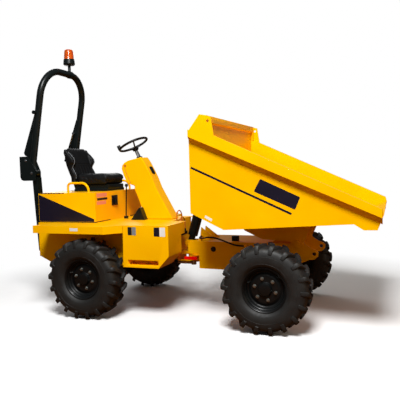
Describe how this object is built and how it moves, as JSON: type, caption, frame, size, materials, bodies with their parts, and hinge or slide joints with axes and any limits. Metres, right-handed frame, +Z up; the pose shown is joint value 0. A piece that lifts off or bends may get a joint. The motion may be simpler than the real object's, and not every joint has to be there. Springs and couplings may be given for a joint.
{
  "type": "articulated front-tip site dumper",
  "caption": "Articulated site dumper: front-tipping load skip, centre pivot, driver's seat over the engine, fold-down roll bar with beacon and lugged tyres on rigid axles.",
  "frame": {"origin": "on the ground under the middle of the machine, midway between its axles", "axes": "+X forwards to the skip's lip, +Y to the driver's left, +Z up"},
  "size_m": [4.03, 1.83, 3.072],
  "materials": {
    "yellow": "gloss machine yellow enamel",
    "black_paint": "semi-gloss black enamel",
    "steel": "plated bar",
    "rim": "semi-gloss black enamel",
    "tyre": "matt rubber with lugs",
    "black_plastic": "moulded grain",
    "seat_vinyl": "black vinyl",
    "rubber": "smooth black rubber",
    "hose": "orange-brown hose cover",
    "red_paint": "gloss red enamel",
    "amber": "translucent amber"
  },
  "bodies": {
    "rear": {"rear_frame": "yellow", "steering_pin": "steel", "engine": "black_paint", "rear_axle": "black_paint", "fender_left": "yellow", "fender_right": "yellow", "floor_plate": "yellow", "tank_left": "yellow", "tank_right": "yellow", "steering_tower": "yellow", "steering_wheel": "black_plastic", "levers": "black_paint", "pedals": "black_paint", "rops_posts": "black_paint", "rear_grille": "black_paint", "valve_block": "black_paint", "valve_hose_1": "hose", "valve_hose_2": "hose"},
    "bonnet": {"bonnet": "yellow", "seat_frame": "black_paint", "seat_cushion": "seat_vinyl", "seat_back": "seat_vinyl", "grab_rails": "yellow"},
    "rops": {"rops_hoop": "black_paint", "beacon_base": "black_paint", "beacon_lens": "amber"},
    "strut_barrel": {"strut_barrels": "black_paint"},
    "strut_rod": {"strut_rods": "steel"},
    "yoke": {"centre_yoke": "yellow", "lock_bar": "red_paint"},
    "steer_barrel": {"steer_barrel": "black_paint"},
    "steer_rod": {"steer_rod": "steel"},
    "front": {"front_frame": "yellow", "front_crossmember": "yellow", "ram_lugs": "yellow", "ram_rests": "yellow", "buffers": "rubber", "front_axle": "black_paint", "frame_hose": "rubber"},
    "ram_barrel": {"ram_barrel": "black_paint"},
    "ram_stage_1": {"ram_stage_1": "steel"},
    "ram_stage_2": {"ram_stage_2": "steel"},
    "ram_rod": {"ram_rod": "steel"},
    "skip": {"skip": "yellow", "skip_brackets": "yellow"},
    "wheel_front_left": {"rim_front_left": "rim", "tyre_front_left": "tyre"},
    "wheel_front_right": {"rim_front_right": "rim", "tyre_front_right": "tyre"},
    "wheel_rear_left": {"rim_rear_left": "rim", "tyre_rear_left": "tyre"},
    "wheel_rear_right": {"rim_rear_right": "rim", "tyre_rear_right": "tyre"}
  },
  "joints": [
    {"name": "bonnet_hinge", "type": "hinge", "parent": "rear", "child": "bonnet", "pos_m": [-1.73, 0, 1.304], "axis": [0, -1, 0], "range_deg": [0, 50]},
    {"name": "rops_fold", "type": "hinge", "parent": "rear", "child": "rops", "pos_m": [-1.85, 0, 1.55], "axis": [0, -1, 0], "range_deg": [0, 90]},
    {"name": "strut_swing", "type": "hinge", "parent": "rear", "child": "strut_barrel", "pos_m": [-1.985, 0, 1.705], "axis": [0, -1, 0], "range_deg": [0, 133.83]},
    {"name": "strut_slide", "type": "slide", "parent": "strut_barrel", "child": "strut_rod", "axis": [0.3599, 0, 0.933], "range_m": [0, 0.0261]},
    {"name": "steering", "type": "hinge", "parent": "rear", "child": "yoke", "pos_m": [-0.03, 0, 0.562], "axis": [0, 0, 1], "range_deg": [-32, 32]},
    {"name": "oscillation", "type": "hinge", "parent": "yoke", "child": "front", "pos_m": [0.12, 0, 0.562], "axis": [1, 0, 0], "range_deg": [-10, 10]},
    {"name": "steer_ram_swing", "type": "hinge", "parent": "rear", "child": "steer_barrel", "pos_m": [-0.66, -0.23, 0.523], "axis": [0, 0, 1], "range_deg": [-2.02, 2.02]},
    {"name": "steer_ram_slide", "type": "slide", "parent": "steer_barrel", "child": "steer_rod", "axis": [0.9996, 0.029, 0], "range_m": [-0.1136, 0.1136]},
    {"name": "skip_tip", "type": "hinge", "parent": "front", "child": "skip", "pos_m": [1.19, 0, 0.79], "axis": [0, 1, 0], "range_deg": [0, 60]},
    {"name": "ram_swing", "type": "hinge", "parent": "front", "child": "ram_barrel", "pos_m": [-0.085, 0, 0.715], "axis": [0, 1, 0], "range_deg": [0, 24.9]},
    {"name": "ram_slide_1", "type": "slide", "parent": "ram_barrel", "child": "ram_stage_1", "axis": [0.2959, 0, 0.9552], "range_m": [0, 0.3746]},
    {"name": "ram_slide_2", "type": "slide", "parent": "ram_stage_1", "child": "ram_stage_2", "axis": [0.2959, 0, 0.9552], "range_m": [0, 0.3746]},
    {"name": "ram_slide_3", "type": "slide", "parent": "ram_stage_2", "child": "ram_rod", "axis": [0.2959, 0, 0.9552], "range_m": [0, 0.3746]},
    {"name": "wheel_front_left_spin", "type": "hinge", "parent": "front", "child": "wheel_front_left", "pos_m": [0.975, 0.77, 0.4225], "axis": [0, 1, 0], "continuous": true},
    {"name": "wheel_front_right_spin", "type": "hinge", "parent": "front", "child": "wheel_front_right", "pos_m": [0.975, -0.77, 0.4225], "axis": [0, 1, 0], "continuous": true},
    {"name": "wheel_rear_left_spin", "type": "hinge", "parent": "rear", "child": "wheel_rear_left", "pos_m": [-0.975, 0.77, 0.4225], "axis": [0, 1, 0], "continuous": true},
    {"name": "wheel_rear_right_spin", "type": "hinge", "parent": "rear", "child": "wheel_rear_right", "pos_m": [-0.975, -0.77, 0.4225], "axis": [0, 1, 0], "continuous": true}
  ],
  "couplings": [
    {"joint": "strut_swing", "follows": "rops_fold", "ratio": 1.4869},
    {"joint": "strut_slide", "follows": "rops_fold", "m_per_rad": 0.016566},
    {"joint": "steer_ram_swing", "follows": "steering", "ratio": 0.063},
    {"joint": "steer_ram_slide", "follows": "steering", "m_per_rad": 0.20289},
    {"joint": "ram_swing", "follows": "skip_tip", "ratio": 0.41461},
    {"joint": "ram_slide_1", "follows": "skip_tip", "m_per_rad": 0.35756},
    {"joint": "ram_slide_2", "follows": "skip_tip", "m_per_rad": 0.35756},
    {"joint": "ram_slide_3", "follows": "skip_tip", "m_per_rad": 0.35756}
  ]
}
